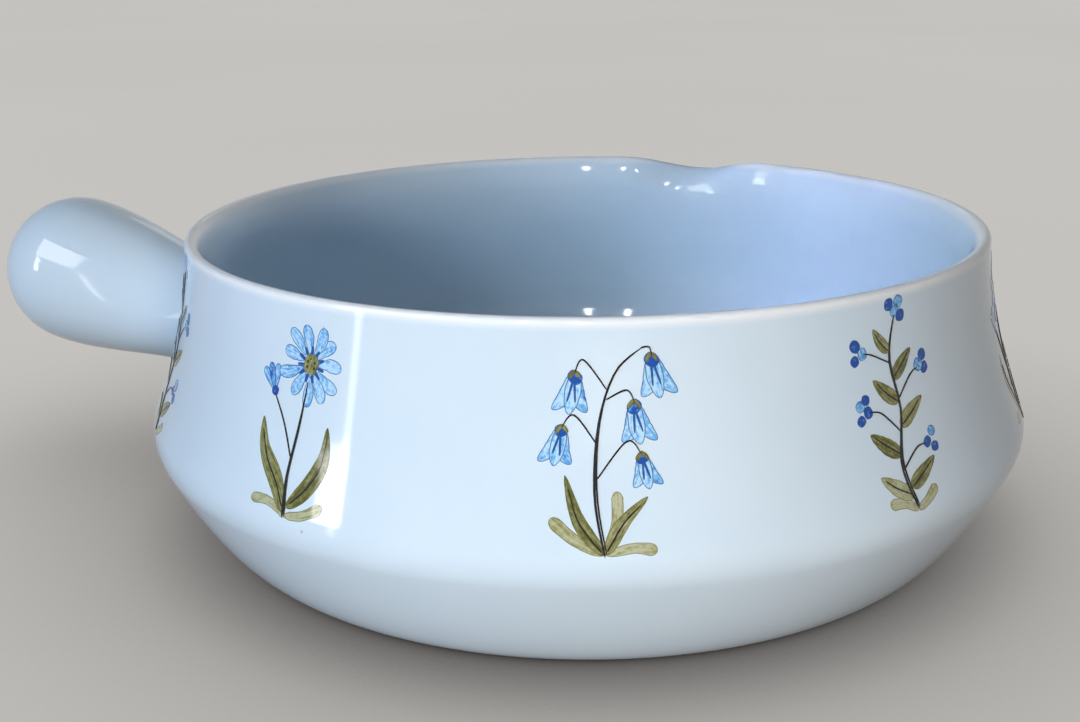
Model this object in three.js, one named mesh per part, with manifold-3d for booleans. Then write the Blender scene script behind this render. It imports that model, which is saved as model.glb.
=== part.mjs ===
// One-handled pottery bowl: a low bowl that draws in from a wide belly to its rim, with a pinched
// pouring lip and a hollow club handle luted to the wall.
// Millimetres, +Z up. The origin is on the bowl's axis in the plane that it stands on, and the
// handle points along -X.
import * as THREE from "three";
import { mergeVertices } from "three/addons/utils/BufferGeometryUtils.js";
import Module from "manifold-3d";

// Bowl, outside
const baseRadius = 81; // the flat that it stands on
const heelRadius = 87.3; // the underside turns up here
const heelHeight = 0.7;
const bellyRadius = 100.4; // the widest ring, before its edge is softened
const bellyHeight = 26.2;
const bellySoftness = 4.5; // length that the soft edge takes from each side of the belly
const waistRadius = 90.3; // the wall steepens here
const waistHeight = 51;
const rimRadius = 89.6;
const rimHeight = 68.8;
const rimRound = 1.4; // radius of the rim's outer edge

// Bowl, inside
const rimSlope = 8; // the inside eases out to the rim over this depth
const wallThickness = 4.4;
const floorThickness = 5;
const insideSoftness = 11; // the belly is blunter inside than outside

// Pouring lip, pinched out of the rim
const lipDirection = 85; // degrees round from +X, about a quarter turn from the handle
const lipHalfWidth = 20; // along the rim
const lipPush = 4.6; // outwards
const lipDrop = 3.1; // downwards
const lipDepth = 24; // the pinch fades out this far below the rim

// Handle
const handleHeight = 37.7; // where its axis meets the wall
const handleDroop = 5.4; // degrees that its axis lies below square to the wall
const neckRadius = 13.3;
const gripRadius = 18.9;
const swellLength = 41.6; // from the wall to the full grip
const gripLength = 0.8; // at its full thickness, before the round end
const handleWall = 4;

// Vent of the handle's hollow, in the underside of its neck
const ventRadius = 1.3;
const ventDistance = 17; // from the wall

// Luting: the slip that bonds the handle to the wall
const lutingReach = 4.5; // out from the neck
const lutingSink = 3; // it spreads this far behind where the axis meets the wall, as the wall curves away
const lutingLength = 7; // along the neck
const lutingEdge = 0.7; // thickness where it runs out
const jointGap = 0.3;

// Faceting
const bowlSides = 96;
const handleSides = 36;
const ventSides = 12;
const curveSteps = 4;

const weldDistance = 1e-4; // points closer than this are one point

const wasm = await Module();
wasm.setup();

function solidOf(geometry) {
  const bare = new THREE.BufferGeometry();
  bare.setAttribute("position", geometry.getAttribute("position"));
  bare.setIndex(geometry.getIndex());
  const merged = mergeVertices(bare, weldDistance);
  return new wasm.Manifold(
    new wasm.Mesh({
      numProp: 3,
      vertProperties: merged.getAttribute("position").array,
      triVerts: new Uint32Array(merged.getIndex().array),
    }),
  );
}

function geometryOf(solid) {
  const mesh = solid.getMesh();
  const geometry = new THREE.BufferGeometry();
  geometry.setAttribute("position", new THREE.BufferAttribute(mesh.vertProperties, 3));
  geometry.setIndex(new THREE.BufferAttribute(mesh.triVerts, 1));
  geometry.computeVertexNormals();
  return geometry;
}

function glazed(colour) {
  return new THREE.MeshStandardMaterial({ color: colour, roughness: 0.12, metalness: 0 });
}

function namedMesh(name, geometry, material) {
  const mesh = new THREE.Mesh(geometry, material);
  mesh.name = name;
  return mesh;
}

// Control points of the bowl's section, from the edge of the floor to the foot of the rim. An inset
// moves them into the clay, and a negative one makes room round the bowl.
function sectionPoints(wallInset, floorInset, rimDrop) {
  return {
    floorEdge: new THREE.Vector2(baseRadius - wallInset, floorInset),
    heel: new THREE.Vector2(heelRadius - wallInset, heelHeight + floorInset),
    belly: new THREE.Vector2(bellyRadius - wallInset, bellyHeight),
    waist: new THREE.Vector2(waistRadius - wallInset, waistHeight),
    rim: new THREE.Vector2(rimRadius - wallInset, rimHeight - rimDrop),
  };
}

// The points where the softened belly leaves the underside and joins the wall.
function bellyEnds(section, softness) {
  const towards = (point) =>
    point.clone().sub(section.belly).setLength(softness).add(section.belly);
  return [towards(section.heel), towards(section.waist)];
}

function bowlOutside(path, section) {
  const [below, above] = bellyEnds(section, bellySoftness);
  path.moveTo(0, section.floorEdge.y);
  path.lineTo(section.floorEdge.x, section.floorEdge.y);
  path.quadraticCurveTo(section.heel.x, section.heel.y, below.x, below.y);
  path.quadraticCurveTo(section.belly.x, section.belly.y, above.x, above.y);
  path.quadraticCurveTo(section.waist.x, section.waist.y, section.rim.x, section.rim.y);
}

function bowlInside(path, section) {
  const [below, above] = bellyEnds(section, insideSoftness);
  path.quadraticCurveTo(section.waist.x, section.waist.y, above.x, above.y);
  path.quadraticCurveTo(section.belly.x, section.belly.y, below.x, below.y);
  path.quadraticCurveTo(section.heel.x, section.heel.y, section.floorEdge.x, section.floorEdge.y);
  path.lineTo(0, section.floorEdge.y);
}

// A lathe of the path, turned so that its axis is +Z.
function turned(path, sides, start = 0) {
  return new THREE.LatheGeometry(path.getPoints(curveSteps), sides, start).rotateX(Math.PI / 2);
}

// Moves the rim outwards and down round the lip's direction, fading along the rim and down the wall.
function pinchLip(geometry) {
  const direction = THREE.MathUtils.degToRad(lipDirection);
  const position = geometry.getAttribute("position");
  const point = new THREE.Vector3();
  for (let i = 0; i < position.count; i++) {
    point.fromBufferAttribute(position, i);
    const radius = Math.hypot(point.x, point.y);
    const turn = Math.atan2(point.y, point.x) - direction;
    const along = (Math.atan2(Math.sin(turn), Math.cos(turn)) * rimRadius) / lipHalfWidth;
    const down = (rimHeight - point.z) / lipDepth;
    if (Math.abs(along) >= 1 || down >= 1 || radius === 0) continue;
    const strength = Math.cos((along * Math.PI) / 2) ** 2 * (1 - down) ** 2;
    const stretch = 1 + (lipPush * strength) / radius;
    position.setXYZ(i, point.x * stretch, point.y * stretch, point.z - lipDrop * strength);
  }
  return geometry;
}

function makeBowl() {
  const path = new THREE.Path();
  bowlOutside(path, sectionPoints(0, 0, rimRound));
  const crest = rimRadius - rimRound;
  const ease = wallThickness - rimRound;
  path.absarc(crest, rimHeight - rimRound, rimRound, 0, Math.PI / 2, false);
  path.absellipse(crest, rimHeight - rimSlope, ease, rimSlope, Math.PI / 2, Math.PI, false);
  bowlInside(path, sectionPoints(wallThickness, floorThickness, rimSlope));
  const start = THREE.MathUtils.degToRad(lipDirection); // a column of points runs down the lip
  return pinchLip(turned(path, bowlSides, start));
}

// The bowl filled to its rim, larger all round by the gap that the joint keeps.
function makeBowlRoom() {
  const section = sectionPoints(-jointGap, -jointGap, rimRound);
  const path = new THREE.Path();
  bowlOutside(path, section);
  path.lineTo(0, section.rim.y);
  return turned(path, bowlSides);
}

// The bowl's outside at a height on its wall: its radius, and the angle that its outward side rises by.
function wallAt(height) {
  const path = new THREE.Path();
  bowlOutside(path, sectionPoints(0, 0, rimRound));
  const wall = path.curves.at(-1);
  const climb = height - wall.v0.y;
  const lift = wall.v1.y - wall.v0.y;
  const bend = wall.v2.y - 2 * wall.v1.y + wall.v0.y;
  const share = climb / (lift + Math.sqrt(lift * lift + bend * climb));
  const slope = wall.getTangent(share);
  return { radius: wall.getPoint(share).x, rise: Math.atan2(-slope.x, slope.y) };
}

// The handle's frame: a lathe's own axis, Y, runs out of the wall and rises.
const handleSeat = wallAt(handleHeight);
const handleRise = handleSeat.rise - THREE.MathUtils.degToRad(handleDroop);
const handleAxis = new THREE.Vector3(-Math.cos(handleRise), 0, Math.sin(handleRise));
const handleFrame = new THREE.Matrix4()
  .makeTranslation(-handleSeat.radius, 0, handleHeight)
  .multiply(
    new THREE.Matrix4().makeRotationFromQuaternion(
      new THREE.Quaternion().setFromUnitVectors(new THREE.Vector3(0, 1, 0), handleAxis),
    ),
  );

// A club along the handle's axis, smaller than the handle by an inset, from inside the bowl's wall.
function makeClub(inset) {
  const neck = neckRadius - inset;
  const grip = gripRadius - inset;
  const endCentre = swellLength + gripLength;
  const root = -neckRadius;
  const path = new THREE.Path();
  path.moveTo(0, root);
  path.lineTo(neck, root);
  path.lineTo(neck, 0);
  path.bezierCurveTo(neck, swellLength / 3, grip, (2 * swellLength) / 3, grip, swellLength);
  path.lineTo(grip, endCentre);
  path.absarc(0, endCentre, grip, 0, Math.PI / 2, false);
  return new THREE.LatheGeometry(path.getPoints(curveSteps), handleSides).applyMatrix4(handleFrame);
}

// A drill from the handle's axis straight down through its wall.
function makeVent() {
  const length = neckRadius + gripRadius;
  const start = new THREE.Vector3(0, ventDistance, 0).applyMatrix4(handleFrame);
  const vent = new THREE.CylinderGeometry(ventRadius, ventRadius, length, ventSides);
  return vent.rotateX(Math.PI / 2).translate(start.x, start.y, start.z - length / 2);
}

// A flare round the neck, from the wall's inside to where the slip runs out along the handle.
function makeFlare() {
  const edge = neckRadius + jointGap + lutingEdge;
  const foot = edge + lutingReach;
  const root = -neckRadius;
  const path = new THREE.Path();
  path.moveTo(0, root);
  path.lineTo(foot, root);
  path.lineTo(foot, -lutingSink);
  path.quadraticCurveTo(edge, -lutingSink, edge, lutingLength);
  path.lineTo(0, lutingLength);
  return new THREE.LatheGeometry(path.getPoints(curveSteps), handleSides).applyMatrix4(handleFrame);
}

// The slip stops at the belly, so the space under the widest ring stays clear.
function makeUnderBelly() {
  const radius = bellyRadius + jointGap;
  const under = new THREE.CylinderGeometry(radius, radius, bellyHeight, bowlSides);
  return under.rotateX(Math.PI / 2).translate(0, 0, bellyHeight / 2);
}

const bowlRoom = solidOf(makeBowlRoom());
const handle = solidOf(makeClub(0))
  .subtract(solidOf(makeClub(handleWall)))
  .subtract(bowlRoom)
  .subtract(solidOf(makeVent()));
const luting = solidOf(makeFlare())
  .subtract(solidOf(makeClub(-jointGap)))
  .subtract(bowlRoom)
  .subtract(solidOf(makeUnderBelly()));

const whiteGlaze = 0xd7e7f6;
const bowl = new THREE.Group();
bowl.add(namedMesh("bowl_body", makeBowl(), glazed(whiteGlaze)));
bowl.add(namedMesh("handle", geometryOf(handle), glazed(whiteGlaze)));
bowl.add(namedMesh("handle_luting", geometryOf(luting), glazed(whiteGlaze)));

export default bowl;
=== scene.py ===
import math
import random

import bmesh
import bpy
from mathutils import Matrix, Quaternion, Vector


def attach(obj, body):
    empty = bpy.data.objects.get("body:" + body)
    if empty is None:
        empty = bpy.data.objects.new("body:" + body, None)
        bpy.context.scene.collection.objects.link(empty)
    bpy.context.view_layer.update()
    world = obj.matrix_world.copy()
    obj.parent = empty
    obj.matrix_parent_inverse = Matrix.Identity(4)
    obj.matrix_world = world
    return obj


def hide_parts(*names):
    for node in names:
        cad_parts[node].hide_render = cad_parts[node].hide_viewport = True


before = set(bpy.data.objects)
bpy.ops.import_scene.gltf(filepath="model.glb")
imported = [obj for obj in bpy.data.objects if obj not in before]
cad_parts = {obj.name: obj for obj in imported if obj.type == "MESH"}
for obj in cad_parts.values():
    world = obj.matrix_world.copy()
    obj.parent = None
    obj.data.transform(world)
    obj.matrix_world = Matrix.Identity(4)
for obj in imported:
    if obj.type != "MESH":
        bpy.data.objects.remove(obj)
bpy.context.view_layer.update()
scene = bpy.context.scene
scene.view_settings.view_transform = "Standard"
mm = 0.001  # metres in a millimetre
print("frame:", ", ".join(sorted(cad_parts)))


# A socket that takes part in sums, so node trees read as plain arithmetic.
class Wire:
    def __init__(self, tree, socket=None):
        self.tree = tree
        self.socket = socket

    # any node: its type, its settings, then the values or links of its sockets
    def node(self, kind, settings=None, sockets=None, out=0):
        made = self.tree.nodes.new(kind)
        for name, value in (settings or {}).items():
            setattr(made, name, value)
        for name, value in (sockets or {}).items():
            if isinstance(value, Wire):
                self.tree.links.new(value.socket, made.inputs[name])
            else:
                made.inputs[name].default_value = value
        return Wire(self.tree, made.outputs[out])

    # another output of the same node
    def beside(self, name):
        return Wire(self.tree, self.socket.node.outputs[name])

    def maths(self, operation, *values):
        return self.node("ShaderNodeMath", {"operation": operation}, dict(enumerate(values)))

    def __add__(self, other):
        return self.maths("ADD", self, other)

    def __radd__(self, other):
        return self.maths("ADD", other, self)

    def __sub__(self, other):
        return self.maths("SUBTRACT", self, other)

    def __rsub__(self, other):
        return self.maths("SUBTRACT", other, self)

    def __mul__(self, other):
        return self.maths("MULTIPLY", self, other)

    def __rmul__(self, other):
        return self.maths("MULTIPLY", other, self)

    def __truediv__(self, other):
        return self.maths("DIVIDE", self, other)

    def __rtruediv__(self, other):
        return self.maths("DIVIDE", other, self)

    # 0 at low, 1 at high, eased at both ends
    def rise(self, low, high):
        return self.node("ShaderNodeMapRange", {"interpolation_type": "SMOOTHSTEP"},
                         {"Value": self, "From Min": low, "From Max": high})

    def part(self, axis):
        return self.node("ShaderNodeSeparateXYZ", None, {0: self}).beside(axis)

    def vector(self, x, y, z):
        return self.node("ShaderNodeCombineXYZ", None, {0: x, 1: y, 2: z})

    def blend(self, share, first, second):
        return self.node("ShaderNodeMix", {"data_type": "RGBA"}, {0: share, 6: first, 7: second}, out=2)

    # 1 for the rays that show a background: to the camera, in a gloss or through glass
    def backgroundRays(self):
        path = self.node("ShaderNodeLightPath")
        kinds = ("Camera", "Glossy", "Transmission")
        seen, mirrored, through = (path.beside(f"Is {kind} Ray") for kind in kinds)
        return self.maths("MAXIMUM", self.maths("MAXIMUM", seen, mirrored), through)


# Camera
cameraSet = {
    "azimuth": 18.0,  # degrees round from the front, away from the handle
    "elevation": 17.05,
    "distance": 332.16 * mm,
    "target": Vector((-10.02, -3.26, 33.99)) * mm,
    "roll": -0.78,
    "lens": 46.667,
    "sensor": 36.0,
    "clip": (0.01, 50.0),  # metres
}


def directionOf(azimuth, elevation):
    a, e = math.radians(azimuth), math.radians(elevation)
    return Vector((math.sin(a) * math.cos(e), -math.cos(a) * math.cos(e), math.sin(e)))


def makeCamera(s):
    lens = bpy.data.cameras.new("camera")
    lens.lens, lens.sensor_width = s["lens"], s["sensor"]
    lens.clip_start, lens.clip_end = s["clip"]
    camera = bpy.data.objects.new("camera", lens)
    scene.collection.objects.link(camera)
    back = directionOf(s["azimuth"], s["elevation"])
    camera.location = s["target"] + back * s["distance"]
    camera.rotation_mode = "QUATERNION"
    roll = Quaternion((0, 0, 1), math.radians(s["roll"]))
    camera.rotation_quaternion = (-back).to_track_quat("-Z", "Y") @ roll
    scene.camera = camera


makeCamera(cameraSet)
print("camera set")


# Light: low soft boxes before and behind the bowl, two cool fills from the left, a gridded box for the far
# right of the inside and a weak ceiling. The panes, the gap and the strips show as reflections only.
lampPlain = {
    "colour": (1.0, 1.0, 1.0),
    "target": (0, 0, 35),  # millimetres
    "spread": 180,  # degrees that its light fans out by
}
lampSet = {
    "key": {"azimuth": 21, "elevation": 4, "distance": 0.43, "size": (0.11, 0.09), "power": 0.84,
            "colour": (1.0, 0.94, 0.88), "seen": "diffuse"},
    "frontFill": {"azimuth": -20, "elevation": 18, "distance": 1.4, "size": (0.3, 0.3), "power": 7.4,
                  "colour": (0.67, 0.83, 0.96), "seen": "diffuse"},
    "sideFill": {"azimuth": -55, "elevation": 20, "distance": 1.4, "size": (0.3, 0.3), "power": 4.6,
                 "colour": (0.55, 0.69, 1.0), "seen": "diffuse"},
    "grid": {"azimuth": -42, "elevation": 27, "distance": 1.2, "size": (0.08, 0.06), "power": 0.01,
             "colour": (0.54, 0.58, 1.0), "seen": "diffuse", "target": (42, 66, 38), "spread": 5},
    "rearRight": {"azimuth": 170, "elevation": 7, "distance": 1.2, "size": (0.4, 0.3), "power": 6.5,
                  "colour": (1.0, 0.99, 0.975), "seen": "diffuse"},
    "rearLeft": {"azimuth": -156, "elevation": 8, "distance": 1.2, "size": (0.4, 0.3), "power": 5.5,
                 "colour": (1.0, 0.99, 0.975), "seen": "diffuse"},
    "ceiling": {"azimuth": 0, "elevation": 86, "distance": 1.9, "size": (1.8, 1.8), "power": 2.6,
                "colour": (0.85, 0.93, 1.0), "seen": "both"},
    "lowPane": {"azimuth": -46, "elevation": 14, "distance": 1.15, "size": (0.16, 0.3), "power": 1.3,
                "seen": "glossy"},
    "highPane": {"azimuth": -36, "elevation": 34, "distance": 1.15, "size": (0.66, 0.44), "power": 4.6,
                 "seen": "glossy"},
    "rearPane": {"azimuth": -160, "elevation": 26, "distance": 1.15, "size": (0.16, 0.3), "power": 0.1,
                 "seen": "glossy"},
    "gap": {"azimuth": -35, "elevation": 4.5, "distance": 0.29, "size": (0.0095, 0.125), "power": 0.017,
            "seen": "glossy"},
    "stripLeft": {"azimuth": 1, "elevation": 28, "distance": 1.5, "size": (0.05, 0.28), "power": 1.7,
                  "seen": "glossy"},
    "stripRight": {"azimuth": 15, "elevation": 28, "distance": 1.5, "size": (0.05, 0.28), "power": 1.7,
                   "seen": "glossy"},
}
worldSet = {"colour": (0.75, 0.86, 1.0), "strength": 0.075, "backdrop": (0.55, 0.535, 0.515)}
floorSet = {
    "radius": 7.0,
    "sides": 96,
    "colour": worldSet["backdrop"],
    "cloudScale": 1.3,
    "cloudSpan": (0.3, 0.7),  # noise over which a cloud comes in
    "cloudGain": 1.03,  # its clouds are this much paler
    "shade": 0.11,  # the object's shadow on it reaches this far
    "shadeSamples": 12,
    "bounce": (0.09, 0.075, 0.065),  # what it gives back to the object
}


def makeLamp(name, s):
    light = bpy.data.lights.new(name, "AREA")
    light.shape = "RECTANGLE"
    light.size, light.size_y = s["size"]
    light.energy, light.color = s["power"], s["colour"]
    light.spread = math.radians(s["spread"])
    lamp = bpy.data.objects.new(name, light)
    lamp.visible_camera = False
    lamp.visible_glossy = s["seen"] != "diffuse"
    lamp.visible_diffuse = s["seen"] != "glossy"
    scene.collection.objects.link(lamp)
    back = directionOf(s["azimuth"], s["elevation"])
    lamp.location = back * s["distance"] + Vector(s["target"]) * mm
    lamp.rotation_mode = "QUATERNION"
    lamp.rotation_quaternion = (-back).to_track_quat("-Z", "Y")


def makeWorld(s):
    world = bpy.data.worlds.new("room")
    world.use_nodes = True
    scene.world = world
    tree = world.node_tree
    tree.nodes.clear()
    w = Wire(tree)
    shown = w.backgroundRays()
    glow = w.node("ShaderNodeBackground", None, {0: (*s["colour"], 1), 1: s["strength"]})
    backdrop = w.node("ShaderNodeBackground", None, {0: (*s["backdrop"], 1), 1: 1.0})
    both = w.node("ShaderNodeMixShader", None, {0: shown, 1: glow, 2: backdrop})
    output = tree.nodes.new("ShaderNodeOutputWorld")
    tree.links.new(both.socket, output.inputs["Surface"])


def shaderTree(name):
    material = bpy.data.materials.new(name)
    material.use_nodes = True
    material.node_tree.nodes.clear()
    return material, Wire(material.node_tree)


def finishShader(material, shader):
    tree = material.node_tree
    output = tree.nodes.new("ShaderNodeOutputMaterial")
    tree.links.new(shader.socket, output.inputs["Surface"])
    return material


def makeFloor(s):
    material, w = shaderTree("paleFloor")
    place = w.node("ShaderNodeTexCoord", out=3)
    cloud = w.node("ShaderNodeTexNoise", None, {"Vector": place, "Scale": s["cloudScale"], "Detail": 3.0})
    paler = [c * s["cloudGain"] for c in s["colour"]]
    pale = w.blend(cloud.rise(*s["cloudSpan"]), (*s["colour"], 1), (*paler, 1))
    shade = w.node("ShaderNodeAmbientOcclusion", {"samples": s["shadeSamples"]},
                   {"Color": pale, "Distance": s["shade"]})
    shown = w.node("ShaderNodeEmission", None, {"Color": shade})
    bounce = w.node("ShaderNodeBsdfDiffuse", None, {"Color": (*s["bounce"], 1)})
    both = w.node("ShaderNodeMixShader", None, {0: w.backgroundRays(), 1: bounce, 2: shown})
    finishShader(material, both)
    sheet = bmesh.new()
    bmesh.ops.create_circle(sheet, cap_ends=True, segments=s["sides"], radius=s["radius"])
    mesh = bpy.data.meshes.new("floor")
    sheet.to_mesh(mesh)
    sheet.free()
    mesh.materials.append(material)
    floor = bpy.data.objects.new("floor", mesh)
    scene.collection.objects.link(floor)


for lampName, lampSizes in lampSet.items():
    makeLamp(lampName, {**lampPlain, **lampSizes})
makeWorld(worldSet)
makeFloor(floorSet)
print("light and floor set")


# Bowl: section points in millimetres, as radius and height
bowlSet = {
    "sides": 384,
    "floorEdge": (81.0, 0.0),
    "heel": (87.3, 0.7),
    "belly": (100.4, 26.2),
    "waist": (90.3, 51.0),
    "rim": (89.6, 68.8),
    "rimRound": 1.2,
    "rimSlope": 8.0,  # the inside eases out to the rim over this depth
    "wall": 4.4,
    "floor": 5.0,
    "softOutside": 4.5,
    "softInside": 11.0,
    "lipDirection": 85.0,  # degrees round from +X
    "lipHalfWidth": 20.0,
    "lipPush": 4.6,
    "lipDrop": 3.1,
    "lipDepth": 24.0,
    "rows": {"floor": 10, "heel": 26, "belly": 16, "wall": 40, "rim": 16},
}


def quadratic(start, middle, end, rows):
    points = []
    for i in range(1, rows + 1):
        t = i / rows
        points.append(start * (1 - t) ** 2 + middle * (2 * t * (1 - t)) + end * t ** 2)
    return points


def sectionCorners(s, wallInset, floorInset, rimDrop, softness):
    floorEdge = Vector(s["floorEdge"]) + Vector((-wallInset, floorInset))
    heel = Vector(s["heel"]) + Vector((-wallInset, floorInset))
    belly = Vector(s["belly"]) - Vector((wallInset, 0))
    waist = Vector(s["waist"]) - Vector((wallInset, 0))
    rim = Vector(s["rim"]) - Vector((wallInset, rimDrop))
    below = belly + (heel - belly).normalized() * softness
    above = belly + (waist - belly).normalized() * softness
    return floorEdge, heel, below, belly, above, waist, rim


def outsideCurves(s):
    rows = s["rows"]
    floorEdge, heel, below, belly, above, waist, rim = sectionCorners(
        s, 0, 0, s["rimRound"], s["softOutside"])
    return (quadratic(floorEdge, heel, below, rows["heel"]),
            quadratic(below, belly, above, rows["belly"]),
            quadratic(above, waist, rim, rows["wall"]))


def bowlSection(s):
    rows = s["rows"]
    floorEdge = Vector(s["floorEdge"])
    points = [floorEdge * (i / rows["floor"]) for i in range(rows["floor"] + 1)]
    for curve in outsideCurves(s):
        points += curve
    edge = Vector(s["rim"]) - Vector((s["rimRound"], s["rimRound"]))
    slope = Vector(s["rim"]) - Vector((s["rimRound"], s["rimSlope"]))
    for centre, across, deep, start in ((edge, s["rimRound"], s["rimRound"], 0),
                                        (slope, s["wall"] - s["rimRound"], s["rimSlope"], math.pi / 2)):
        for i in range(1, rows["rim"] + 1):
            turn = start + math.pi / 2 * i / rows["rim"]
            points.append(centre + Vector((across * math.cos(turn), deep * math.sin(turn))))
    floorEdge, heel, below, belly, above, waist, rim = sectionCorners(
        s, s["wall"], s["floor"], s["rimSlope"], s["softInside"])
    points += quadratic(rim, waist, above, rows["wall"])
    points += quadratic(above, belly, below, rows["belly"])
    points += quadratic(below, heel, floorEdge, rows["heel"])
    for i in range(rows["floor"] - 1, -1, -1):
        points.append(Vector((floorEdge.x * i / rows["floor"], floorEdge.y)))
    return points


def sectionObject(name, points):
    mesh = bpy.data.meshes.new(name)
    edges = [(i, i + 1) for i in range(len(points) - 1)]
    mesh.from_pydata([(p.x * mm, 0, p.y * mm) for p in points], edges, [])
    made = bpy.data.objects.new(name, mesh)
    scene.collection.objects.link(made)
    return made


# Geometry trees
weldDistance = 0.001 * mm  # points of a turned section closer than this are one point


def geometryTree(name, inputs):
    tree = bpy.data.node_groups.new(name, "GeometryNodeTree")
    tree.interface.new_socket("Geometry", in_out="INPUT", socket_type="NodeSocketGeometry")
    for label, kind in inputs:
        tree.interface.new_socket(label, in_out="INPUT", socket_type="NodeSocket" + kind)
    tree.interface.new_socket("Geometry", in_out="OUTPUT", socket_type="NodeSocketGeometry")
    entry = tree.nodes.new("NodeGroupInput")
    return tree, Wire(tree), {o.name: Wire(tree, o) for o in entry.outputs if o.name}


def closeTree(tree, w, geometry, material):
    real = w.node("GeometryNodeRealizeInstances", None, {"Geometry": geometry})
    dressed = w.node("GeometryNodeSetMaterial", None, {"Geometry": real, "Material": material})
    output = tree.nodes.new("NodeGroupOutput")
    tree.links.new(dressed.socket, output.inputs[0])


def bake(piece):
    bpy.context.view_layer.update()
    graph = bpy.context.evaluated_depsgraph_get()
    mesh = bpy.data.meshes.new_from_object(piece.evaluated_get(graph), preserve_all_data_layers=True,
                                           depsgraph=graph)
    piece.modifiers.clear()
    piece.data = mesh


def runTree(piece, tree, values):
    modifier = piece.modifiers.new("shape", "NODES")
    modifier.node_group = tree
    for item in tree.interface.items_tree:
        if item.in_out == "INPUT" and item.name in values:
            modifier[item.identifier] = values[item.name]
    bake(piece)


lipInputs = [("Lip direction", "Float"), ("Lip half width", "Float"), ("Lip push", "Float"),
             ("Lip drop", "Float"), ("Lip depth", "Float"), ("Rim radius", "Float"),
             ("Rim height", "Float")]


def lipValues(s):
    return {
        "Lip direction": math.radians(s["lipDirection"]),
        "Lip half width": s["lipHalfWidth"] * mm,
        "Lip push": s["lipPush"] * mm,
        "Lip drop": s["lipDrop"] * mm,
        "Lip depth": s["lipDepth"] * mm,
        "Rim radius": s["rim"][0] * mm,
        "Rim height": s["rim"][1] * mm,
    }


# The pinch moves the rim out and down, and fades along the rim and down the wall.
def pinchedLip(w, given, turn, radius, height):
    aside = w.maths("WRAP", turn - given["Lip direction"], math.pi, -math.pi)
    arc = w.maths("ABSOLUTE", aside) * given["Rim radius"]
    along = w.maths("MINIMUM", arc / given["Lip half width"], 1.0)
    down = w.maths("MAXIMUM", (given["Rim height"] - height) / given["Lip depth"], 0.0)
    fade = 1 - w.maths("MINIMUM", down, 1.0)
    strength = w.maths("POWER", w.maths("COSINE", along * (math.pi / 2)), 2.0) * (fade * fade)
    return radius + given["Lip push"] * strength, height - given["Lip drop"] * strength


# Turns the section that the object holds round +Z, then pinches the lip.
def turningTree():
    tree, w, given = geometryTree("turnSection", [("Sides", "Int"), *lipInputs, ("Finish", "Material")])
    section = given["Geometry"]
    count = w.node("GeometryNodeAttributeDomainSize", {"component": "MESH"}, {"Geometry": section})
    grid = w.node("GeometryNodeMeshGrid", None, {"Size X": 1.0, "Size Y": 1.0,
                                                 "Vertices X": given["Sides"] + 1, "Vertices Y": count})
    spot = w.node("GeometryNodeInputPosition")
    turn = (spot.part("X") + 0.5) * (2 * math.pi)
    row = w.maths("ROUND", (spot.part("Y") + 0.5) * (count - 1))
    corner = w.node("GeometryNodeSampleIndex", {"data_type": "FLOAT_VECTOR", "domain": "POINT"},
                    {"Geometry": section, "Value": w.node("GeometryNodeInputPosition"), "Index": row})
    radius, height = pinchedLip(w, given, turn, corner.part("X"), corner.part("Z"))
    place = w.vector(radius * w.maths("COSINE", turn), radius * w.maths("SINE", turn), height)
    wound = w.node("GeometryNodeSetPosition", None, {"Geometry": grid, "Position": place})
    closed = w.node("GeometryNodeMergeByDistance", None, {"Geometry": wound, "Distance": weldDistance})
    smooth = w.node("GeometryNodeSetShadeSmooth", None, {"Geometry": closed})
    closeTree(tree, w, smooth, given["Finish"])
    return tree


def settle(piece, slot, *nodes):
    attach(piece, "root")
    if nodes:
        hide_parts(*nodes)


# Glaze and bare clay
glazeSet = {
    "colour": (0.7, 0.81, 0.9),
    "thin": (0.97, 0.975, 0.98),  # where it runs thin over the rim, whitened further as a painted highlight along the crest
    "cloud": (0.665, 0.785, 0.885),
    "speck": (0.16, 0.13, 0.11),
    "clay": (0.56, 0.48, 0.38),
    "clayDark": (0.42, 0.35, 0.28),
    "roughness": 0.045,
    "roughSpread": 0.04,
    "ior": 1.52,
    "waveScale": 55.0,
    "peelScale": 420.0,
    "peelShare": 0.07,  # the peel's height beside the waves'
    "waveDepth": 0.28 * mm,
    "cloudScale": 26.0,
    "cloudSpan": (0.38, 0.72),  # noise over which a cloud comes in
    "thinFrom": (66.4 * mm, 68.4 * mm),  # heights between which it thins and the painted highlight along the crest comes in
    "thinAndSheenShare": 0.9,
    "speckScale": 85.0,
    "speckSize": (0.016, 0.03),
    "speckShare": (0.78, 0.8),  # cells above this hold a speck
    "speckDepth": 0.5,
    "bareHeight": (0.3 * mm, 0.6 * mm),
    "bareEdge": (80.6 * mm, 81.4 * mm),
    "bareWander": 4 * mm,
    "clayCloudSpan": (0.35, 0.7),
    "clayRough": 0.82,
    "clayRoughSpread": 0.1,
    "grainScale": 900.0,
    "grainDepth": 0.2 * mm,
    "grainSpan": (0.6, 0.75),  # its dark grains
    "grainShare": 0.4,
    "wheelScale": 2600.0,  # turning marks
    "wheelShare": 0.15,
}


# The gloss is shared by the glaze and by the brushwork under it: slow waves and a fine orange peel.
def glazeGloss(w, place, s):
    slow = w.node("ShaderNodeTexNoise", None, {"Vector": place, "Scale": s["waveScale"], "Detail": 1.0})
    fine = w.node("ShaderNodeTexNoise", None, {"Vector": place, "Scale": s["peelScale"], "Detail": 2.0})
    height = slow + fine * s["peelShare"]
    normal = w.node("ShaderNodeBump", None, {"Strength": 0.35, "Distance": s["waveDepth"], "Height": height})
    rough = s["roughness"] + fine * s["roughSpread"]
    return normal, rough


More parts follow.
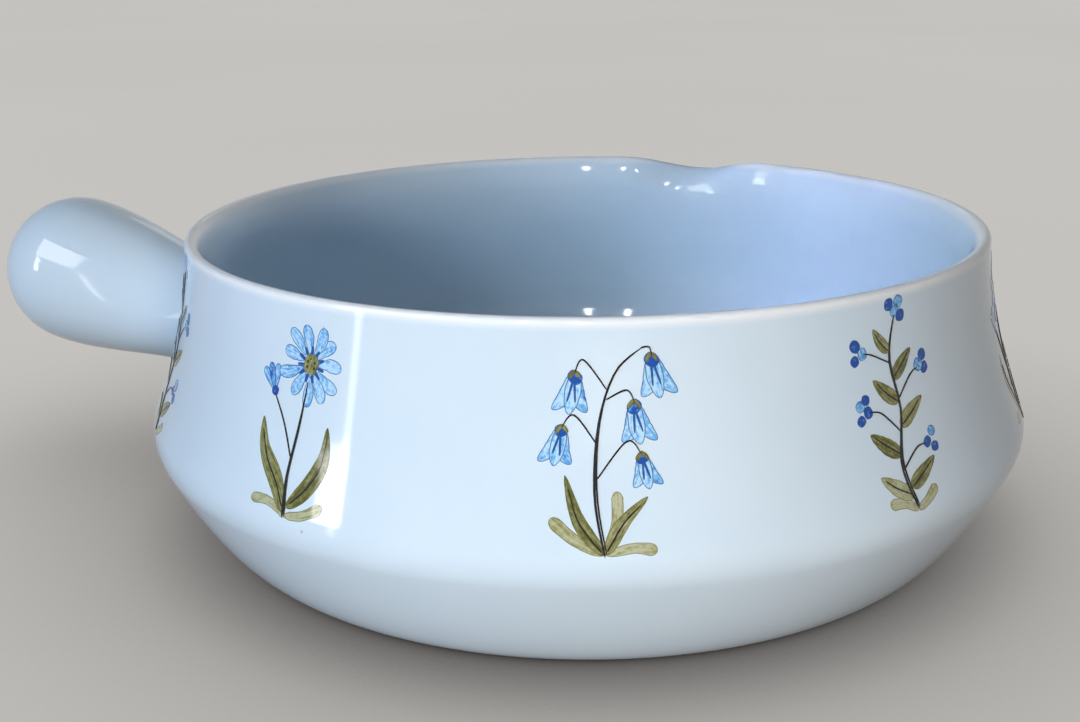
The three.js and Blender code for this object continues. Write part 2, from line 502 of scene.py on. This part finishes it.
def makeGlaze(s):
    material, w = shaderTree("whiteGlaze")
    place = w.node("ShaderNodeTexCoord", out=3)
    normal, rough = glazeGloss(w, place, s)
    cloud = w.node("ShaderNodeTexNoise", None, {"Vector": place, "Scale": s["cloudScale"], "Detail": 4.0})
    colour = w.blend(cloud.rise(*s["cloudSpan"]), (*s["colour"], 1), (*s["cloud"], 1))
    height = place.part("Z")
    # paler towards the rim: the glaze thins there, and the near-white is also a painted highlight along the
    # crest
    colour = w.blend(height.rise(*s["thinFrom"]) * s["thinAndSheenShare"], colour, (*s["thin"], 1))
    cells = w.node("ShaderNodeTexVoronoi", {"feature": "F1"}, {"Vector": place, "Scale": s["speckScale"]})
    pick = cells.beside("Color").part("X")
    speck = (1 - cells.rise(*s["speckSize"])) * pick.rise(*s["speckShare"])
    colour = w.blend(speck * s["speckDepth"], colour, (*s["speck"], 1))
    glazed = w.node("ShaderNodeBsdfPrincipled", None,
                    {"Base Color": colour, "Roughness": rough, "IOR": s["ior"], "Normal": normal})
    # the flat that it stands on is wiped bare
    across = w.node("ShaderNodeVectorMath", {"operation": "LENGTH"},
                    {0: w.vector(place.part("X"), place.part("Y"), 0.0)}, out=1)
    edge = across + (cloud - 0.5) * s["bareWander"]
    bare = (1 - height.rise(*s["bareHeight"])) * (1 - edge.rise(*s["bareEdge"]))
    grain = w.node("ShaderNodeTexNoise", None, {"Vector": place, "Scale": s["grainScale"], "Detail": 3.0})
    wheel = w.maths("SINE", across * s["wheelScale"])
    clay = w.blend(cloud.rise(*s["clayCloudSpan"]), (*s["clay"], 1), (*s["clayDark"], 1))
    clay = w.blend(grain.rise(*s["grainSpan"]) * s["grainShare"], clay, (*s["speck"], 1))
    clayBump = w.node("ShaderNodeBump", None, {"Strength": 0.6, "Distance": s["grainDepth"],
                                               "Height": grain + wheel * s["wheelShare"]})
    clayRough = s["clayRough"] + grain * s["clayRoughSpread"]
    biscuit = w.node("ShaderNodeBsdfPrincipled", None,
                     {"Base Color": clay, "Roughness": clayRough, "Normal": clayBump})
    return finishShader(material, w.node("ShaderNodeMixShader", None, {0: bare, 1: glazed, 2: biscuit}))


whiteGlaze = makeGlaze(glazeSet)
turning = turningTree()


def makeBowl(s):
    bowl = sectionObject("glazed_bowl", bowlSection(s))
    runTree(bowl, turning, {"Sides": s["sides"], **lipValues(s), "Finish": whiteGlaze})
    return bowl


bowl = makeBowl(bowlSet)
settle(bowl, "white_glaze", "bowl_body")
print("bowl:", len(bowl.data.polygons), "faces")


# Handle: a club on an axis that rises out of the wall
handleSet = {
    "sides": 96,
    "seat": (-95.91, 0.0, 37.7),
    "rise": 14.03,  # degrees
    "neck": 13.3,
    "grip": 18.9,
    "swell": 41.6,
    "straight": 0.8,
    "sink": 2.4,  # the root's depth in the wall
    "rows": {"root": 6, "swell": 48, "end": 30},
    "ventRadius": 1.3,
    "ventDistance": 17.0,  # from the wall
    "ventSpan": (8.0, 20.0),  # below the axis, from its blind end to clear of the surface
    "ventSides": 32,
    "weld": 0.05,  # points closer than this are one point
    "sharp": 50,  # degrees; the vent's edge is sharper than this
}


def handlePlace(s):
    axis = directionOf(-90, s["rise"])
    turn = Vector((0, 0, 1)).rotation_difference(axis).to_matrix().to_4x4()
    return Matrix.Translation(Vector(s["seat"]) * mm) @ turn


def handleSection(s):
    rows = s["rows"]
    points = [Vector((s["neck"] * i / rows["root"], -s["sink"])) for i in range(rows["root"] + 1)]
    for i in range(rows["swell"] + 1):
        t = i / rows["swell"]
        points.append(Vector((s["neck"] + (s["grip"] - s["neck"]) * t * t * (3 - 2 * t), s["swell"] * t)))
    centre = s["swell"] + s["straight"]
    for i in range(rows["end"] + 1):
        turn = math.pi / 2 * i / rows["end"]
        points.append(Vector((s["grip"] * math.cos(turn), centre + s["grip"] * math.sin(turn))))
    points[-1].x = 0
    return points


def makeHandle(s):
    handle = sectionObject("club_handle", handleSection(s))
    plain = {**lipValues(bowlSet), "Lip push": 0.0, "Lip drop": 0.0}
    runTree(handle, turning, {"Sides": s["sides"], **plain, "Finish": whiteGlaze})
    handle.data.transform(handlePlace(s))
    return handle


# The vent of the hollow: a pin hole straight up into the underside of the neck
def drillVent(handle, s):
    start = handlePlace(s) @ Vector((0, 0, s["ventDistance"] * mm))
    high, low = s["ventSpan"]
    body = bmesh.new()
    bmesh.ops.create_cone(body, cap_ends=True, segments=s["ventSides"], radius1=s["ventRadius"] * mm,
                          radius2=s["ventRadius"] * mm, depth=(low - high) * mm)
    # no corner of the drill lies in the handle's own plane of symmetry
    bmesh.ops.rotate(body, verts=body.verts, matrix=Matrix.Rotation(math.pi / 2 / s["ventSides"], 3, "Z"))
    bmesh.ops.translate(body, verts=body.verts, vec=start - Vector((0, 0, (low + high) / 2 * mm)))
    mesh = bpy.data.meshes.new("drill")
    body.to_mesh(mesh)
    body.free()
    mesh.materials.append(whiteGlaze)
    drill = bpy.data.objects.new("drill", mesh)
    scene.collection.objects.link(drill)
    cut = handle.modifiers.new("vent", "BOOLEAN")
    cut.operation, cut.object, cut.solver = "DIFFERENCE", drill, "EXACT"
    bake(handle)
    bpy.data.objects.remove(drill)
    body = bmesh.new()
    body.from_mesh(handle.data)
    bmesh.ops.remove_doubles(body, verts=body.verts, dist=s["weld"] * mm)
    bmesh.ops.dissolve_degenerate(body, edges=body.edges, dist=s["weld"] * mm)
    print("handle's open edges:", sum(not edge.is_manifold for edge in body.edges))
    body.to_mesh(handle.data)
    body.free()
    handle.data.set_sharp_from_angle(angle=math.radians(s["sharp"]))


handle = makeHandle(handleSet)
drillVent(handle, handleSet)
settle(handle, "white_glaze", "handle")
print("handle:", len(handle.data.polygons), "faces")


# Luting: the slip that fills the angle between the wall and the neck
lutingSet = {
    "reach": 4.5,  # out from the neck
    "length": 7.0,  # along the neck
    "sides": 96,
    "rows": 12,
    "cover": 1.2,  # how deep its back lies in the clay
    "footSink": 0.05,
    "runSink": 0.02,
    "search": (-14.0, 8.0),  # along the axis, where the wall is looked for
    "halvings": 30,
    "under": {"from": 0.25, "over": 0.6, "power": 1.5, "loss": 0.86},  # it thins out below the neck
}


def wallRadius(height):
    points = [p for curve in outsideCurves(bowlSet) for p in curve]
    for low, high in zip(points, points[1:]):
        if low.y <= height <= high.y:
            return low.x + (high.x - low.x) * (height - low.y) / (high.y - low.y)
    return bowlSet["rim"][0]


def makeLuting(s, h):
    place = handlePlace(h)
    place.translation /= mm
    neck, under, cover = h["neck"], s["under"], s["cover"]

    def wallAlong(x, y):
        low, high = s["search"]
        for _ in range(s["halvings"]):
            middle = (low + high) / 2
            spot = place @ Vector((x, y, middle))
            if math.hypot(spot.x, spot.y) > wallRadius(spot.z):
                high = middle
            else:
                low = middle
        return high

    body = bmesh.new()
    rings = []
    for i in range(s["sides"]):
        turn = 2 * math.pi * i / s["sides"]
        x, y = math.cos(turn), math.sin(turn)
        downness = max(0.0, -(place.to_3x3() @ Vector((x, y, 0))).z)
        fade = min(1.0, max(0.0, (downness - under["from"]) / under["over"]))
        ease = 1 - under["loss"] * fade ** under["power"]
        reach, length = s["reach"] * ease, s["length"] * ease
        inner = wallAlong(x * neck, y * neck)
        outer = wallAlong(x * (neck + reach), y * (neck + reach))
        foot = Vector((neck + reach, outer - s["footSink"]))
        corner = Vector((neck, inner))
        run = Vector((neck - s["runSink"], inner + length))
        ring = [foot, *quadratic(foot, corner, run, s["rows"])]
        ring += [Vector((neck - cover, inner + length / 2)), Vector((neck - cover, inner - cover)),
                 Vector((neck + reach / 2, (inner + outer) / 2 - cover))]
        rings.append([body.verts.new(place @ Vector((x * p.x, y * p.x, p.y)) * mm) for p in ring])
    count = len(rings[0])
    for i, ring in enumerate(rings):
        after = rings[(i + 1) % len(rings)]
        for j in range(count):
            k = (j + 1) % count
            body.faces.new((ring[j], after[j], after[k], ring[k]))
    bmesh.ops.recalc_face_normals(body, faces=body.faces)
    for face in body.faces:
        face.smooth = True
    mesh = bpy.data.meshes.new("luting_slip")
    body.to_mesh(mesh)
    body.free()
    mesh.materials.append(whiteGlaze)
    luting = bpy.data.objects.new("luting_slip", mesh)
    scene.collection.objects.link(luting)
    return luting


luting = makeLuting(lutingSet, handleSet)
settle(luting, "white_glaze", "handle_luting")
print("luting:", len(luting.data.polygons), "faces")


# Brushwork: sprigs drawn flat in millimetres, right along the wall and up from the belly
sprigSet = {
    "places": 10,  # evenly spaced, and the one under the handle stays bare
    "reference": 94.0,  # wall radius at which the drawing keeps its width
    "rise": 1.0,  # above the widest ring
    "sink": 0.05,
    "lift": {"olive": 0.02, "blue": 0.06, "black": 0.13},
    "layerStep": 0.008,  # strokes that overlap lie in different layers
    "topLayer": 14,  # olive that lies over blue
    "widths": {"stem": 0.23, "stemSide": 0.16, "rib": 0.15, "twig": 0.16, "petalLine": 0.34, "bellLine": 0.22,
               "sepal": 0.4, "eye": 0.24},  # half widths of the fine strokes
    "shake": 0.12,  # how far a point of a stroke strays
    "widthShake": 0.04,  # share of its width
    "numberRange": 100,  # more than the strokes of any sprig
    "numberStep": 7.3,  # keeps the grain of one stroke apart from the next one's
    "seed": 11,
    "ribShares": (0.08, 0.3, 0.55, 0.84),  # points of a rib, along its leaf
    "dotStretch": (1.1, 0.12),  # length over width, and how far that strays
    "stem": {"aside": 0.42, "closing": 0.1, "up": 0.4, "shake": 0.06},  # where its second line runs
    "daisy": {
        "start": (0, 57),  # degrees
        "turnShake": 4,  # degrees
        "shorter": 0.9,  # every second petal
        "lengthShake": 0.05,
        "root": 1.9,  # from the centre
        "bend": 0.6,  # share of a petal at which it sways
        "sway": 0.5,
        "width": 0.185,
        "tones": (0.05, 0.4),
        "line": (1.5, 0.42),  # from this far out to this share of the size
        "lineTone": 0.95,
        "centre": 1.75,
        "centreTone": 0.55,
        "eyes": 6,
        "eyeStart": 23,  # degrees
    },
    "bud": {
        "petals": ((-24, 0.25), (24, 0.3), (0, 0.6)),  # turn in degrees, and tone
        "bend": 0.55,
        "width": 0.2,
        "cap": 0.9,
        "capRise": 0.2,
    },
    "bell": {
        "petals": ((-1, 0.15), (1, 0.3), (0, 0.08)),  # side, and tone
        "spread": 15,  # degrees
        "flare": 0.2,
        "sideLoss": 0.06,  # how much shorter the side petals are
        "bend": 0.55,
        "width": 0.21,
        "lineTurns": (-9, 9),  # degrees
        "line": (0.6, 0.7),  # from this far down to this share of the size
        "lineTone": 0.95,
        "cap": 0.17,
        "capDrop": 0.2,
        "sepals": ((-1.1, -0.5), (0, 0.7), (1.1, -0.5)),
        "sepalTone": 0.7,
    },
    "berry": {"radius": (0.95, 1.3), "tones": (1.0, 0.4, 1.0)},
}
daisySprig = {
    "leaves": [
        ([(0.2, 2.0), (-4.2, 3.8), (-8.6, 3.4)], 1.1, 0.1, False),
        ([(0.2, 1.8), (4.2, 2.8), (8.4, 5.2)], 1.15, 0.15, False),
        ([(-0.2, 1.6), (-2.4, 6.0), (-5.2, 8.4)], 1.2, 0.05, False),
        ([(0.0, 2.4), (-3.6, 8.0), (-8.0, 13.2), (-9.4, 18.6)], 2.0, 0.6, True),
        ([(0.4, 3.4), (4.4, 8.0), (7.0, 13.4), (7.0, 19.6)], 1.9, 0.75, True),
    ],
    "stems": [[(0.0, 1.4), (-0.9, 9.0), (0.1, 18.0), (1.2, 27.0)]],
    "twigs": [[(-0.6, 12.5), (-3.8, 18.5), (-7.2, 23.6)]],
    "buds": [(-7.4, 23.8, 20, 5.4)],
    "daisies": [(1.6, 30.2, 8.2, 11)],
}
berrySprig = {
    "leaves": [
        ([(0.6, 1.2), (-2.4, 3.0), (-6.0, 3.6)], 1.2, 0.05, False),
        ([(0.6, 1.2), (3.2, 2.2), (6.6, 4.4)], 1.15, 0.12, False),
        ([(0.2, 4.0), (-3.6, 6.2), (-6.9, 8.8)], 1.75, 0.2, True),
        ([(0.1, 5.5), (3.8, 7.4), (7.8, 9.7)], 1.75, 0.65, True),
        ([(-0.9, 12.0), (-4.4, 14.3), (-7.5, 16.9)], 1.75, 0.75, True),
        ([(0.3, 17.0), (3.8, 19.0), (7.5, 21.4)], 1.75, 0.45, True),
        ([(0.8, 21.5), (-2.4, 23.7), (-5.2, 26.5)], 1.65, 0.6, True),
        ([(0.1, 26.0), (2.8, 28.2), (5.8, 30.8)], 1.6, 0.8, True),
        ([(-0.5, 31.0), (-2.8, 33.1), (-4.6, 35.6)], 1.4, 0.5, True),
    ],
    "stems": [[(0.6, 1.4), (-1.2, 10.0), (0.9, 20.0), (-0.6, 29.5), (1.2, 37.2)]],
    "twigs": [
        [(-0.9, 9.0), (3.4, 12.2), (6.6, 12.4)],
        [(0.2, 16.0), (-4.2, 20.2), (-7.2, 20.8)],
        [(0.7, 22.0), (4.8, 25.6), (7.4, 26.8)],
        [(-0.4, 29.0), (-5.0, 31.0), (-7.4, 31.6)],
        [(0.6, 35.0), (1.4, 37.4)],
    ],
    "berries": [(6.9, 12.6), (8.6, 14.2), (8.8, 11.4), (-7.4, 21.0), (-9.2, 22.4), (-9.2, 19.6),
                (-7.6, 23.4), (7.6, 27.2), (9.2, 28.8), (9.6, 26.2), (-7.6, 31.8), (-9.2, 33.2),
                (-9.4, 30.6), (1.4, 38.2), (3.2, 37.2), (-0.2, 39.6), (2.6, 39.8)],
}
bellSprig = {
    "leaves": [
        ([(0.3, 1.8), (4.8, 2.8), (8.8, 2.4)], 1.15, 0.1, False),
        ([(-0.2, 1.8), (-5.0, 4.4), (-9.0, 8.0)], 1.25, 0.2, False),
        ([(0.1, 1.8), (2.2, 7.4), (2.4, 12.6)], 1.1, 0.05, False),
        ([(0.0, 1.8), (-4.2, 7.5), (-6.6, 15.5)], 1.35, 0.7, True),
        ([(0.2, 1.8), (3.2, 7.0), (7.6, 11.6)], 1.35, 0.5, True),
    ],
    "stems": [[(0.0, 1.4), (-1.4, 12.0), (-0.6, 24.0), (2.4, 33.0), (7.0, 37.2)]],
    "twigs": [
        [(7.0, 37.2), (8.4, 37.2), (8.8, 35.8)],
        [(0.6, 28.4), (4.2, 30.0), (5.6, 27.8)],
        [(0.8, 30.0), (-3.2, 35.2), (-4.8, 33.0)],
        [(-0.9, 20.5), (-5.0, 25.8), (-7.2, 23.6)],
        [(-1.3, 14.6), (4.2, 21.2), (6.8, 18.8)],
    ],
    "bells": [(8.8, 35.4, 12, 7.2), (5.6, 27.4, 8, 7.0), (-4.8, 32.6, -10, 6.8), (-7.2, 23.2, -12, 6.4),
              (6.8, 18.4, 10, 5.6)],
}


# A smooth curve through the points, at shares of its way
def smoothLine(points, shares):
    ends = [points[0], *points, points[-1]]
    spans = len(points) - 1
    line = []
    for share in shares:
        along = min(share * spans, spans - 1e-6)  # the end stays within the last span
        k = int(along)
        t = along - k
        a, b, c, d = (Vector(p) for p in ends[k:k + 4])
        line.append((2 * b + (c - a) * t + (2 * a - 5 * b + 4 * c - d) * t ** 2
                     + (3 * b - a - 3 * c + d) * t ** 3) / 2)
    return line


def heading(degrees):
    return Vector((math.cos(math.radians(degrees)), math.sin(math.radians(degrees))))


# How full a stroke is along its way: the powers move its widest place and blunt its ends.
def leafFull(t):
    return math.sin(math.pi * t ** 0.8) ** 0.75 * (1 - 0.25 * t) + 0.02


def brushFull(t):
    ends = min(1.0, t / 0.22) * min(1.0, (1 - t) / 0.16)
    return math.sqrt(ends) * (0.62 + 0.38 * t) + 0.01


def petalFull(t):
    return math.sin(math.pi * t ** 1.25) ** 0.6 * (0.55 + 0.45 * t) + 0.02


def bellFull(t):
    return math.sin(math.pi * (0.12 + 0.88 * t) ** 0.9) ** 0.7 + 0.02


def lineFull(t):
    swell = 0.55 + 0.45 * math.sin(math.pi * (0.15 + 0.85 * t))
    return swell * min(1.0, t / 0.06 + 0.25) * min(1.0, (1 - t) / 0.12 + 0.15)


def dotFull(t):
    return math.sqrt(max(0.0, 1 - (2 * t - 1) ** 2)) + 0.01


# One painter for a sprig: it collects strokes as paint, layer, line, half widths and depth of tone.
class Painter:
    def __init__(self, s, number):
        self.s = s
        self.draw = random.Random(s["seed"] + number)
        self.strokes = []

    def near(self, value, amount):
        return value + self.draw.uniform(-amount, amount)

    def stroke(self, paint, layer, points, width, full, tone, steps=20, shake=None):
        shake = self.s["shake"] if shake is None else shake
        shares = [(1 - math.cos(math.pi * i / steps)) / 2 for i in range(steps + 1)]
        line = smoothLine([(self.near(x, shake), self.near(y, shake)) for x, y in points], shares)
        halves = [width * max(0.0, full(share)) * self.near(1, self.s["widthShake"]) for share in shares]
        self.strokes.append((paint, layer, line, halves, tone))

    def fine(self, paint, layer, points, width, tone, **more):
        self.stroke(paint, layer, points, self.s["widths"][width], lineFull, tone, **more)

    def dot(self, paint, layer, x, y, radius, tone):
        shake = self.s["shake"]
        reach = heading(self.draw.uniform(0, 180)) * radius * self.near(*self.s["dotStretch"])
        centre = Vector((self.near(x, shake), self.near(y, shake)))
        ends = [centre - reach, centre + reach]
        self.stroke(paint, layer, ends, radius, dotFull, tone, steps=14, shake=0)

    def leaf(self, layer, points, width, tone, ribbed):
        self.stroke("olive", layer, points, width, leafFull if ribbed else brushFull, tone)
        if ribbed:
            rib = smoothLine(points, self.s["ribShares"])
            self.fine("black", layer % 3, rib, "rib", 1.0, shake=self.s["shake"] / 2)

    def stem(self, points):
        s = self.s["stem"]
        self.fine("black", 3, points, "stem", 1.0, steps=26)
        beside = [(x + self.near(s["aside"] - s["closing"] * i, s["shake"]), y + s["up"])
                  for i, (x, y) in enumerate(points[:-1])]
        self.fine("black", 4, [*beside, points[-1]], "stemSide", 1.0, steps=26)

    def daisy(self, x, y, size, petals):
        s = self.s["daisy"]
        centre = Vector((x, y))
        start, step = self.draw.uniform(*s["start"]), 360 / petals
        for k in range(petals):
            out = heading(self.near(start + k * step, s["turnShake"]))
            reach = size * (1.0 if k % 2 else s["shorter"]) * self.near(1, s["lengthShake"])
            sway = out.orthogonal() * self.near(0, s["sway"])
            petal = [centre + out * s["root"], centre + out * reach * s["bend"] + sway, centre + out * reach]
            tone = self.draw.uniform(*s["tones"])
            self.stroke("blue", k % 3, petal, size * s["width"], petalFull, tone)
        inner, outer = s["line"]
        for k in range(petals):
            out = heading(start + (k + 0.5) * step)
            line = [centre + out * inner, centre + out * size * outer]
            self.fine("blue", 3, line, "petalLine", s["lineTone"], steps=10)
        self.dot("olive", self.s["topLayer"], x, y, s["centre"], s["centreTone"])
        for k in range(s["eyes"]):
            eye = centre + heading(360 / s["eyes"] * k + s["eyeStart"])
            self.dot("black", 0, eye.x, eye.y, self.s["widths"]["eye"], 1.0)

    def bud(self, x, y, lean, size):
        s = self.s["bud"]
        root = Vector((x, y))
        for layer, (turn, tone) in enumerate(s["petals"]):
            out = heading(90 + lean + turn)
            petal = [root, root + out * size * s["bend"], root + out * size]
            self.stroke("blue", layer, petal, size * s["width"], petalFull, tone)
        self.dot("blue", 3, x, y + s["capRise"], s["cap"], 1.0)

    def bell(self, x, y, lean, size):
        s = self.s["bell"]
        crown = Vector((x, y))
        for layer, (side, tone) in enumerate(s["petals"]):
            out = heading(lean - 90 + side * s["spread"])
            flare = Vector((side * size * s["flare"], 0))
            tip = crown + out * size * (1 - s["sideLoss"] * abs(side)) + flare
            petal = [crown, crown + out * size * s["bend"], tip]
            self.stroke("blue", layer, petal, size * s["width"], bellFull, tone)
        inner, outer = s["line"]
        for turn in s["lineTurns"]:
            out = heading(lean - 90 + turn)
            line = [crown + out * inner, crown + out * size * outer]
            self.fine("blue", 3, line, "bellLine", s["lineTone"], steps=10)
        self.dot("blue", 4, x, y - s["capDrop"], size * s["cap"], 1.0)
        sepals = [crown + Vector(corner) for corner in s["sepals"]]
        self.fine("olive", self.s["topLayer"], sepals, "sepal", s["sepalTone"], steps=10)

    def berry(self, k, x, y):
        s = self.s["berry"]
        self.dot("blue", k % 4, x, y, self.draw.uniform(*s["radius"]), s["tones"][k % len(s["tones"])])

    def sprig(self, drawing):
        for layer, leaf in enumerate(drawing.get("leaves", [])):
            self.leaf(layer, *leaf)
        for stem in drawing.get("stems", []):
            self.stem(stem)
        for twig in drawing.get("twigs", []):
            self.fine("black", 2, twig, "twig", 1.0)
        for bud in drawing.get("buds", []):
            self.bud(*bud)
        for daisy in drawing.get("daisies", []):
            self.daisy(*daisy)
        for bell in drawing.get("bells", []):
            self.bell(*bell)
        for k, berry in enumerate(drawing.get("berries", [])):
            self.berry(k, *berry)
        return self.strokes


# A stroke is a thin closed slip: three columns on top, two below, sunk a little into the wall.
def laySlip(s, flats, stroke, angle, number):
    paint, layer, line, halves, tone = stroke
    body, brush, wash = flats[paint]
    offset = angle * s["reference"]
    top = s["lift"][paint] + layer * s["layerStep"]
    columns = ((1, top), (0, top), (-1, top), (-1, -s["sink"]), (1, -s["sink"]))  # side and height
    rows, walked = [], 0.0
    for i, spot in enumerate(line):
        ahead = line[min(i + 1, len(line) - 1)] - line[max(i - 1, 0)]
        aside = Vector((-ahead.y, ahead.x)).normalized() * halves[i]
        walked += (spot - line[i - 1]).length if i else 0.0
        row = []
        for side, height in columns:
            place = spot + aside * side
            vert = body.verts.new(((place.x + offset) * mm, (place.y + s["rise"]) * mm, height * mm))
            vert[brush] = (side * halves[i], walked, number * s["numberStep"])
            vert[wash] = (tone, halves[i] * (1 - abs(side)), i / (len(line) - 1))
            row.append(vert)
        rows.append(row)
    pairs = [(k, (k + 1) % len(columns)) for k in range(len(columns))]
    for row, after in zip(rows, rows[1:]):
        for k, j in pairs:
            body.faces.new((row[k], row[j], after[j], after[k])).smooth = True
    body.faces.new(rows[0][::-1])
    body.faces.new(rows[-1])
    # its long edges and its ends are sharp, the middle of its top is smooth
    for row, after in zip(rows, rows[1:]):
        for k, (side, _) in enumerate(columns):
            if side:
                body.edges.get((row[k], after[k])).smooth = False
    for row in (rows[0], rows[-1]):
        for k, j in pairs:
            body.edges.get((row[k], row[j])).smooth = False


def drawSprigs(s):
    flats = {}
    for paint in s["lift"]:
        body = bmesh.new()
        flats[paint] = (body, body.verts.layers.float_vector.new("brush"),
                        body.verts.layers.float_vector.new("wash"))
    drawings = (berrySprig, daisySprig, bellSprig)
    for k in range(s["places"] - 1):
        angle = math.radians(-180 + (k + 1) * 360 / s["places"])
        strokes = Painter(s, k).sprig(drawings[k % len(drawings)])
        for number, stroke in enumerate(strokes, s["numberRange"] * k):
            laySlip(s, flats, stroke, angle, number)
    return {paint: flat[0] for paint, flat in flats.items()}


# Lays flat strokes on the wall: x turns round the axis, y climbs the section, z stands off it.
def wrappingTree():
    tree, w, given = geometryTree("layOnWall", [("Wall", "Object"), ("Reference", "Float"), *lipInputs,
                                                ("Finish", "Material")])
    wall = w.node("GeometryNodeObjectInfo", None, {"Object": given["Wall"]})
    climb = w.node("GeometryNodeMeshToCurve", None, {"Mesh": wall.beside("Geometry")})
    flat = w.node("GeometryNodeInputPosition")
    spot = w.node("GeometryNodeSampleCurve", {"mode": "LENGTH", "use_all_curves": True},
                  {"Curves": climb, "Length": flat.part("Y")})
    middle, slope = spot.beside("Position"), spot.beside("Tangent")
    turn = flat.part("X") / given["Reference"]
    radius, height = pinchedLip(w, given, turn, middle.part("X"), middle.part("Z"))
    radius = radius + flat.part("Z") * slope.part("Z")
    height = height - flat.part("Z") * slope.part("X")
    place = w.vector(radius * w.maths("COSINE", turn), radius * w.maths("SINE", turn), height)
    laid = w.node("GeometryNodeSetPosition", None, {"Geometry": given["Geometry"], "Position": place})
    closeTree(tree, w, laid, given["Finish"])
    return tree


# Paint: washes that are streaked along the stroke, mottled all over and ringed by a dark edge
brushSet = {
    "drag": (2.6, 0.3, 1.0),  # streaks across and along a stroke
    "grainScale": 1300.0,
    "middleSpan": (0.0, 0.55),  # depths over which pale turns to middle
    "deepSpan": (0.45, 1.0),  # and middle to deep
    "pool": 0.3,  # the wash gathers at a stroke's end
    "poolSpan": (0.7, 1.0),
    "ringWander": 0.16,
    "ringWidth": (0.07, 0.24),  # millimetres in from the stroke's side
    "ringPool": 0.2,  # it is wider at the stroke's end
    "ringPoolSpan": (0.75, 1.0),
}
paintSet = {
    "blue": {"slot": "blue_paint", "pale": (0.5, 0.75, 0.93), "middle": (0.14, 0.42, 0.8),
             "deep": (0.002, 0.07, 0.38), "edge": (0.012, 0.1, 0.3), "ring": 0.95, "mottle": 1.3,
             "streak": 1.3, "load": 0.08},
    "olive": {"slot": "olive_paint", "pale": (0.5, 0.5, 0.32), "middle": (0.28, 0.275, 0.1),
              "deep": (0.1, 0.1, 0.012), "edge": (0.1, 0.095, 0.025), "ring": 0.55, "mottle": 0.8,
              "streak": 1.5, "load": 0.05},
    "black": {"slot": "black_paint", "pale": (0.1, 0.095, 0.09), "middle": (0.04, 0.038, 0.038),
              "deep": (0.01, 0.01, 0.013), "edge": (0.015, 0.015, 0.018), "ring": 0.3, "mottle": 1.7,
              "streak": 0.8, "load": 0.0},
}


def makePaint(name, s, b):
    material, w = shaderTree(name + "Brushwork")
    place = w.node("ShaderNodeTexCoord", out=3)
    normal, rough = glazeGloss(w, place, glazeSet)
    brush = w.node("ShaderNodeAttribute", {"attribute_name": "brush"}, out=1)
    wash = w.node("ShaderNodeAttribute", {"attribute_name": "wash"}, out=1)
    tone, edge, along = wash.part("X"), wash.part("Y"), wash.part("Z")
    drag = w.node("ShaderNodeVectorMath", {"operation": "MULTIPLY"}, {0: brush, 1: b["drag"]})
    streak = w.node("ShaderNodeTexNoise", None, {"Vector": drag, "Scale": 1.0, "Detail": 2.0})
    grain = w.node("ShaderNodeTexNoise", None, {"Vector": place, "Scale": b["grainScale"], "Detail": 2.0})
    pooled = s["load"] + along.rise(*b["poolSpan"]) * b["pool"]
    depth = tone + (streak - 0.5) * s["streak"] + (grain - 0.5) * s["mottle"] + pooled
    colour = w.blend(depth.rise(*b["middleSpan"]), (*s["pale"], 1), (*s["middle"], 1))
    colour = w.blend(depth.rise(*b["deepSpan"]), colour, (*s["deep"], 1))
    near, far = b["ringWidth"]
    inward = edge + (grain - 0.5) * b["ringWander"]
    reach = far + along.rise(*b["ringPoolSpan"]) * b["ringPool"]
    ring = (1 - inward.rise(near, reach)) * s["ring"]
    colour = w.blend(ring, colour, (*s["edge"], 1))
    painted = w.node("ShaderNodeBsdfPrincipled", None,
                     {"Base Color": colour, "Roughness": rough, "IOR": glazeSet["ior"], "Normal": normal})
    return finishShader(material, painted)


def wallGuide(s):
    belly, wall = outsideCurves(s)[1:]
    widest = max(range(len(belly)), key=lambda i: belly[i].x)
    return sectionObject("wallGuide", belly[widest:] + wall)


def makeBrushwork(s):
    guide = wallGuide(bowlSet)
    wrapping = wrappingTree()
    for paint, body in drawSprigs(s).items():
        mesh = bpy.data.meshes.new("painted_" + paint)
        body.to_mesh(mesh)
        body.free()
        piece = bpy.data.objects.new("painted_" + paint, mesh)
        scene.collection.objects.link(piece)
        runTree(piece, wrapping, {"Wall": guide, "Reference": s["reference"] * mm, **lipValues(bowlSet),
                                  "Finish": makePaint(paint, paintSet[paint], brushSet)})
        settle(piece, paintSet[paint]["slot"])
        print(piece.name + ":", len(piece.data.polygons), "faces")
    bpy.data.objects.remove(guide)


makeBrushwork(sprigSet)

bpy.context.view_layer.update()
